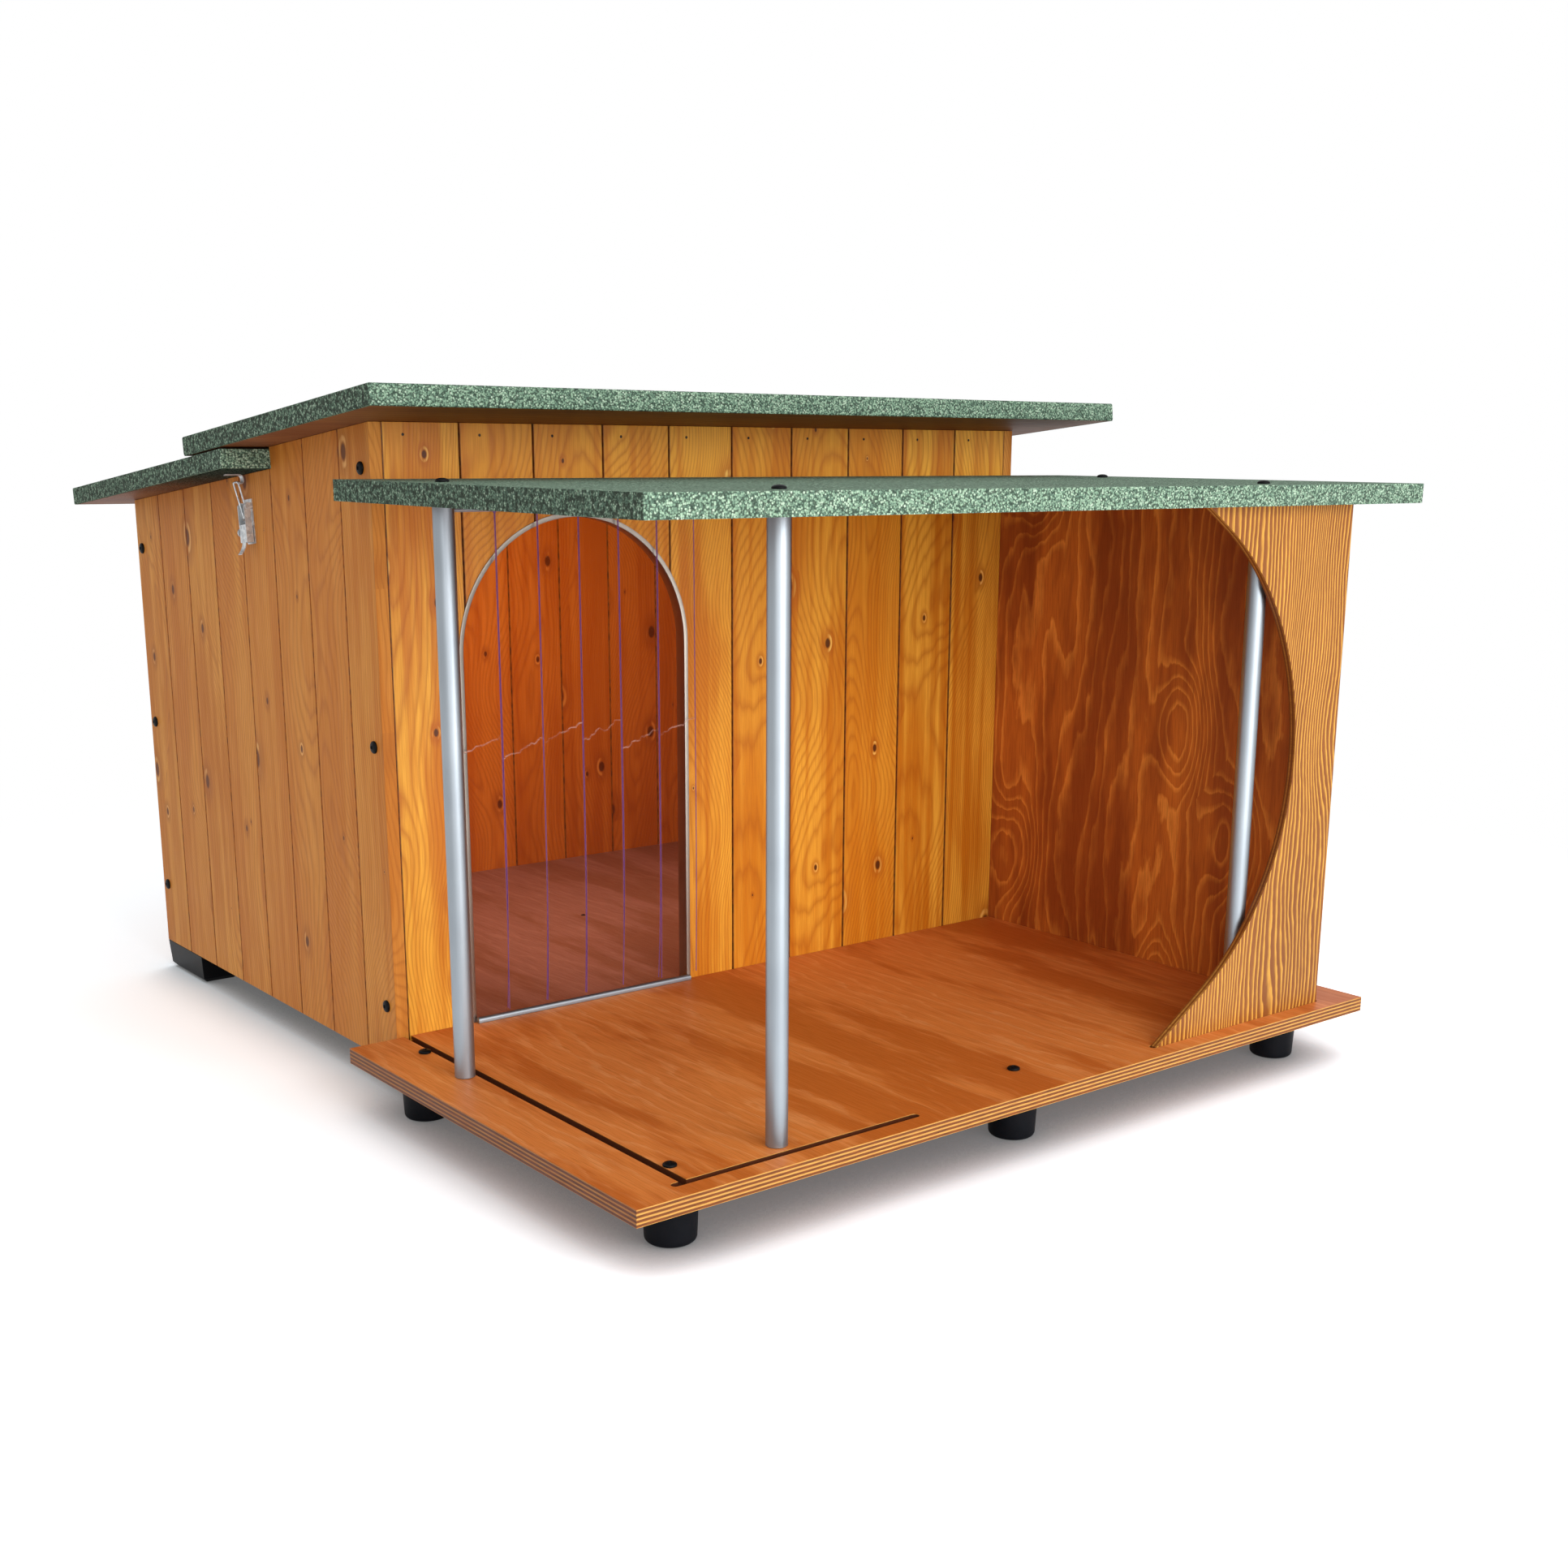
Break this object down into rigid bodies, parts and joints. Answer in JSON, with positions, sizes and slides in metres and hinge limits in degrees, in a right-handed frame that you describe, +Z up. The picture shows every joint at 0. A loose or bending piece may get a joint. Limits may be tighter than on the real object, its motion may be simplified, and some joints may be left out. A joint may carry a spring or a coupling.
{
  "type": "dog house",
  "caption": "Boarded timber dog house with a stepped lift-off roof held by draw latches, an arched doorway with a strip curtain, and a roofed veranda.",
  "frame": {"origin": "on the ground, under the middle of the bounding box", "axes": "+Z up, +Y from the veranda to the rear wall, +X to the right of someone who faces the doorway"},
  "size_m": [1.27, 1.5636, 0.9003],
  "materials": {
    "pine_front": "honey-stained knotty pine, satin",
    "pine_side": "honey-stained knotty pine, matt",
    "stained_ply": "chestnut-stained plywood, satin",
    "dark_ply": "brown-stained plywood, satin",
    "panel_ply": "chestnut-stained plywood with light grain, satin",
    "batten": "planed softwood",
    "shingle": "green mineral-faced bitumen felt",
    "aluminium": "satin anodised",
    "galvanised_steel": "zinc plated",
    "black_plastic": "moulded",
    "black_rubber": "moulded",
    "clear_pvc": "clear, faint violet edge"
  },
  "bodies": {
    "house": {"front_wall": "pine_front", "rear_wall": "pine_side", "side_wall_left": "pine_side", "side_wall_right": "pine_side", "cabin_floor": "stained_ply", "platform": "stained_ply", "floor_frame": "batten", "corner_post_front_left": "batten", "corner_post_front_right": "batten", "corner_post_rear_left": "batten", "corner_post_rear_right": "batten", "cabin_foot_front_left": "black_plastic", "cabin_foot_front_right": "black_plastic", "cabin_foot_rear_left": "black_plastic", "cabin_foot_rear_right": "black_plastic", "arch_trim": "aluminium", "door_bar": "aluminium", "curtain_rail": "aluminium", "platform_foot_rear_left": "black_rubber", "platform_foot_rear_right": "black_rubber", "platform_foot_front_left": "black_rubber", "platform_foot_front_right": "black_rubber", "platform_foot_front_middle": "black_rubber", "platform_bolt_rear_left": "black_plastic", "platform_bolt_rear_right": "black_plastic", "platform_bolt_front_left": "black_plastic", "platform_bolt_front_right": "black_plastic", "platform_bolt_front_middle": "black_plastic", "post_rear_left": "aluminium", "post_rear_right": "aluminium", "post_front_left": "aluminium", "post_front_right": "aluminium", "roof_bolt_rear_left": "black_plastic", "roof_bolt_rear_right": "black_plastic", "roof_bolt_front_left": "black_plastic", "roof_bolt_front_right": "black_plastic", "side_panel": "dark_ply", "front_panel": "panel_ply", "veranda_roof_board": "dark_ply", "veranda_roof_cover": "shingle", "latch_base_left": "galvanised_steel", "latch_base_right": "galvanised_steel"},
    "roof": {"upper_roof_board": "dark_ply", "upper_roof_cover": "shingle", "lower_roof_board": "dark_ply", "lower_roof_cover": "shingle", "roof_rail_left": "batten", "roof_rail_right": "batten", "roof_catch_left": "galvanised_steel", "roof_catch_right": "galvanised_steel"},
    "strip_1": {"curtain_strip_1": "clear_pvc"},
    "strip_2": {"curtain_strip_2": "clear_pvc"},
    "strip_3": {"curtain_strip_3": "clear_pvc"},
    "strip_4": {"curtain_strip_4": "clear_pvc"},
    "strip_5": {"curtain_strip_5": "clear_pvc"},
    "strip_6": {"curtain_strip_6": "clear_pvc"},
    "latch_lever_left": {"latch_lever_left": "galvanised_steel"},
    "latch_bail_left": {"latch_bail_left": "galvanised_steel"},
    "latch_lever_right": {"latch_lever_right": "galvanised_steel"},
    "latch_bail_right": {"latch_bail_right": "galvanised_steel"}
  },
  "joints": [
    {"name": "roof_lift", "type": "slide", "parent": "house", "child": "roof", "axis": [0, 0, 1], "range_m": [0, 0.35]},
    {"name": "strip_1_swing", "type": "hinge", "parent": "house", "child": "strip_1", "pos_m": [-0.43225, -0.13056, 0.755], "axis": [-1, 0, 0], "range_deg": [0, 55]},
    {"name": "strip_2_swing", "type": "hinge", "parent": "house", "child": "strip_2", "pos_m": [-0.37015, -0.13056, 0.755], "axis": [-1, 0, 0], "range_deg": [0, 55]},
    {"name": "strip_3_swing", "type": "hinge", "parent": "house", "child": "strip_3", "pos_m": [-0.30805, -0.13056, 0.755], "axis": [-1, 0, 0], "range_deg": [0, 55]},
    {"name": "strip_4_swing", "type": "hinge", "parent": "house", "child": "strip_4", "pos_m": [-0.24595, -0.13056, 0.755], "axis": [-1, 0, 0], "range_deg": [0, 55]},
    {"name": "strip_5_swing", "type": "hinge", "parent": "house", "child": "strip_5", "pos_m": [-0.18385, -0.13056, 0.755], "axis": [-1, 0, 0], "range_deg": [0, 55]},
    {"name": "strip_6_swing", "type": "hinge", "parent": "house", "child": "strip_6", "pos_m": [-0.12175, -0.13056, 0.755], "axis": [-1, 0, 0], "range_deg": [0, 55]},
    {"name": "latch_lever_left_open", "type": "hinge", "parent": "house", "child": "latch_lever_left", "pos_m": [-0.574, 0.25072, 0.75343], "axis": [0, 0.9953, -0.0963], "range_deg": [0, 90]},
    {"name": "latch_bail_left_swing", "type": "hinge", "parent": "latch_lever_left", "child": "latch_bail_left", "pos_m": [-0.5725, 0.24908, 0.73651], "axis": [0, 0.9953, -0.0963], "range_deg": [-117, 0]},
    {"name": "latch_lever_right_open", "type": "hinge", "parent": "house", "child": "latch_lever_right", "pos_m": [0.534, 0.25072, 0.75343], "axis": [0, -0.9953, 0.0963], "range_deg": [0, 90]},
    {"name": "latch_bail_right_swing", "type": "hinge", "parent": "latch_lever_right", "child": "latch_bail_right", "pos_m": [0.5325, 0.24908, 0.73651], "axis": [0, -0.9953, 0.0963], "range_deg": [-117, 0]}
  ],
  "couplings": [
    {"joint": "latch_bail_left_swing", "follows": "latch_lever_left_open", "ratio": -1.3},
    {"joint": "latch_bail_right_swing", "follows": "latch_lever_right_open", "ratio": -1.3}
  ]
}
